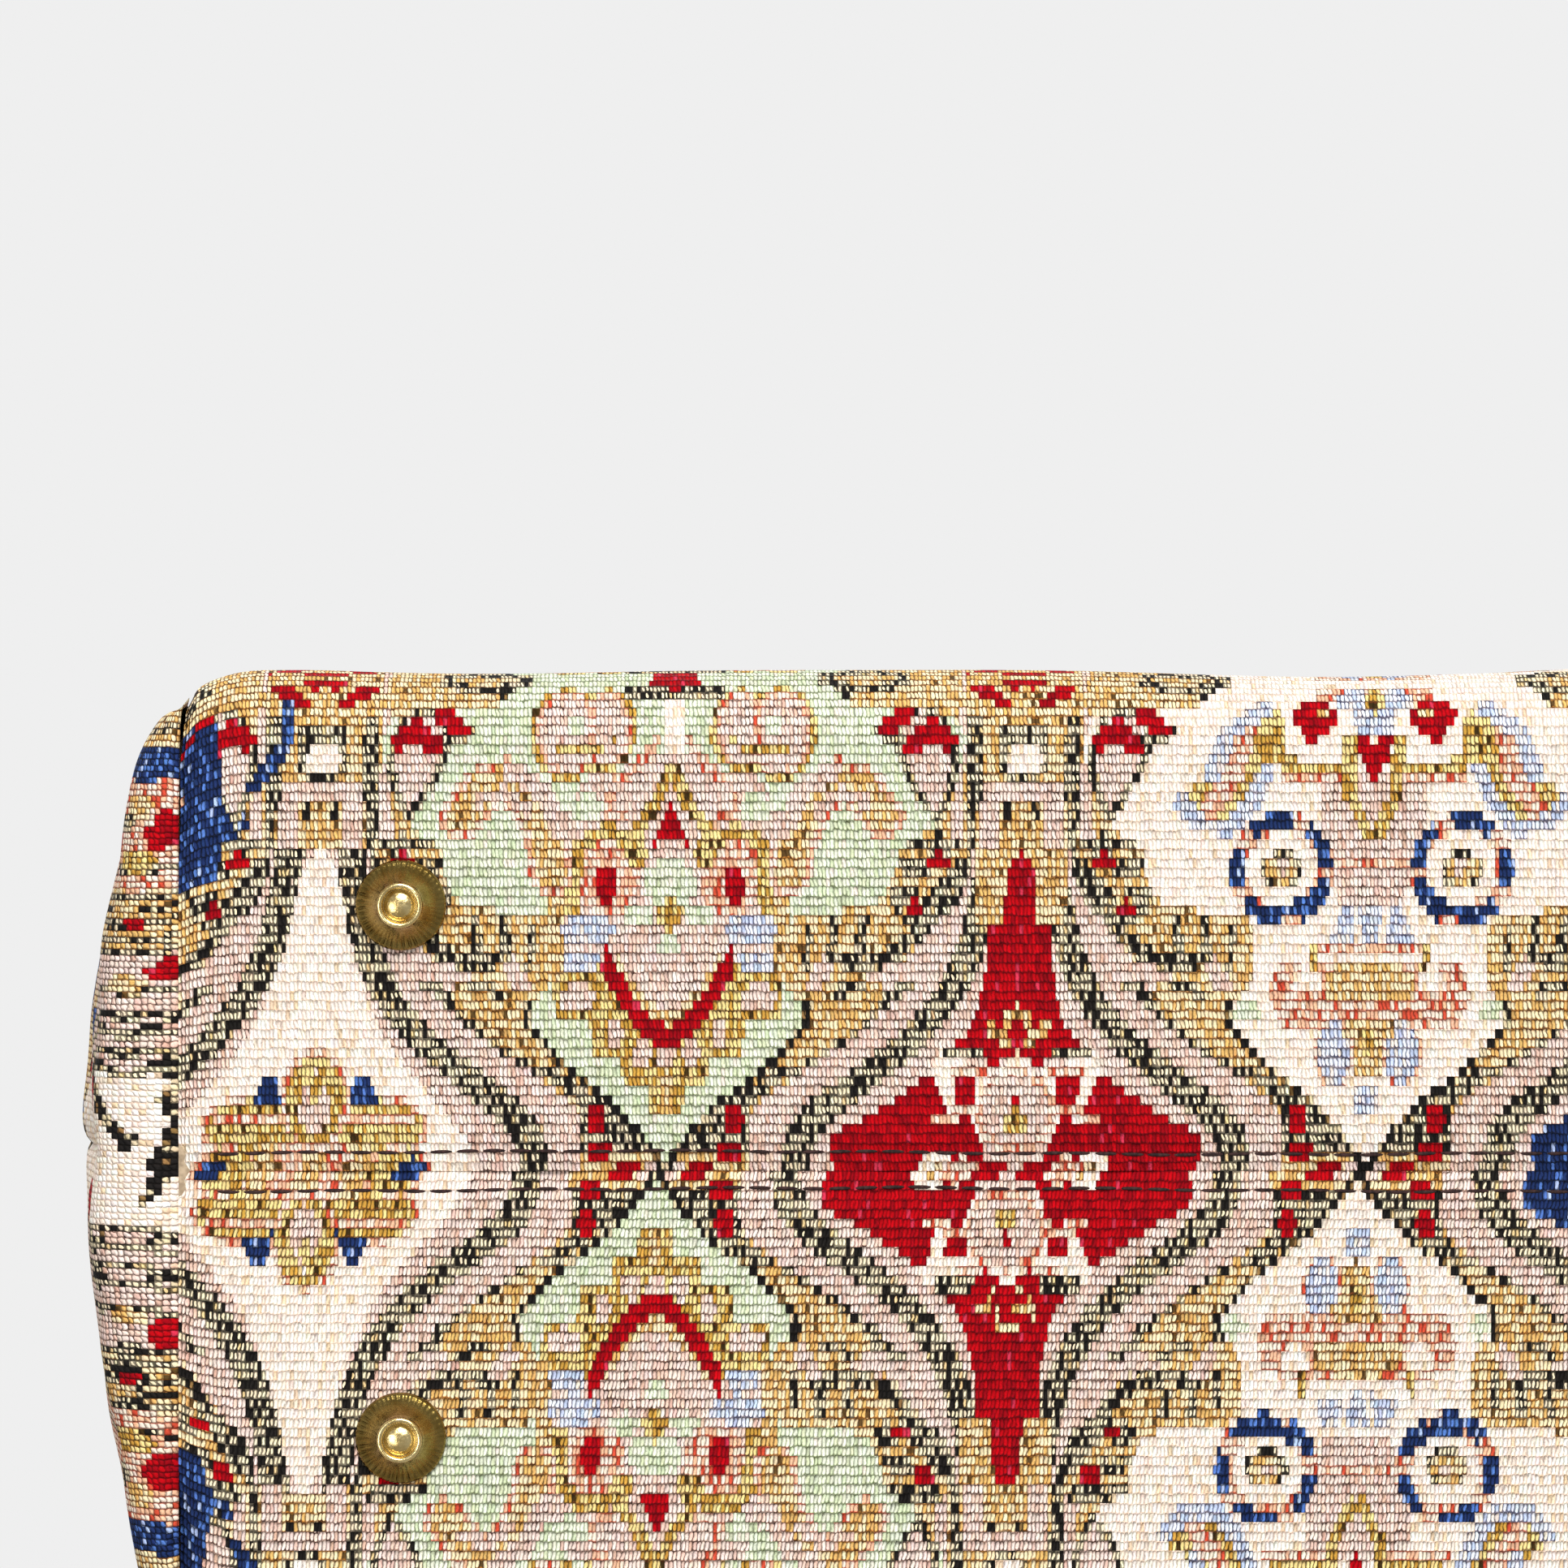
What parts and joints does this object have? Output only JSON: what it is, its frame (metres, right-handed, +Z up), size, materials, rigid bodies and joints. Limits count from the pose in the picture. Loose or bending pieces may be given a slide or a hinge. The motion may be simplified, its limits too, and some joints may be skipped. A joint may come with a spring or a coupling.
{
  "type": "carpet bag",
  "caption": "Open carpet hand bag of woven tapestry with seamed underside, soft end gussets, rolled leather handles and turned brass feet, standing on its feet.",
  "frame": {"origin": "on the ground under the middle of the bag, which stands on its four feet", "axes": "+X along the bag to the right seen from the front, +Y from front to back, +Z up"},
  "size_m": [0.4088, 0.154, 0.384],
  "materials": {
    "carpet": "woven tapestry, matt, with a traditional ogee lattice in cream, gold, red and blue",
    "lining": "plain woven cotton",
    "leather": "brown, softly grained, semi-matt",
    "brass": "antique brass, darkened in the hollows, rubbed bright on the high rings",
    "board": "grey-brown pressed board"
  },
  "bodies": {
    "root": {"back_handle": "leather", "back_left_foot": "brass", "back_left_patch": "leather", "back_panel": "carpet", "back_right_foot": "brass", "back_right_patch": "leather", "base_board": "board", "foot_washers": "brass", "front_handle": "leather", "front_left_foot": "brass", "front_left_patch": "leather", "front_panel": "carpet", "front_right_foot": "brass", "front_right_patch": "leather", "handle_rivets": "brass", "left_gusset": "carpet", "lining": "lining", "right_gusset": "carpet", "rim_binding": "leather"}
  },
  "joints": []
}
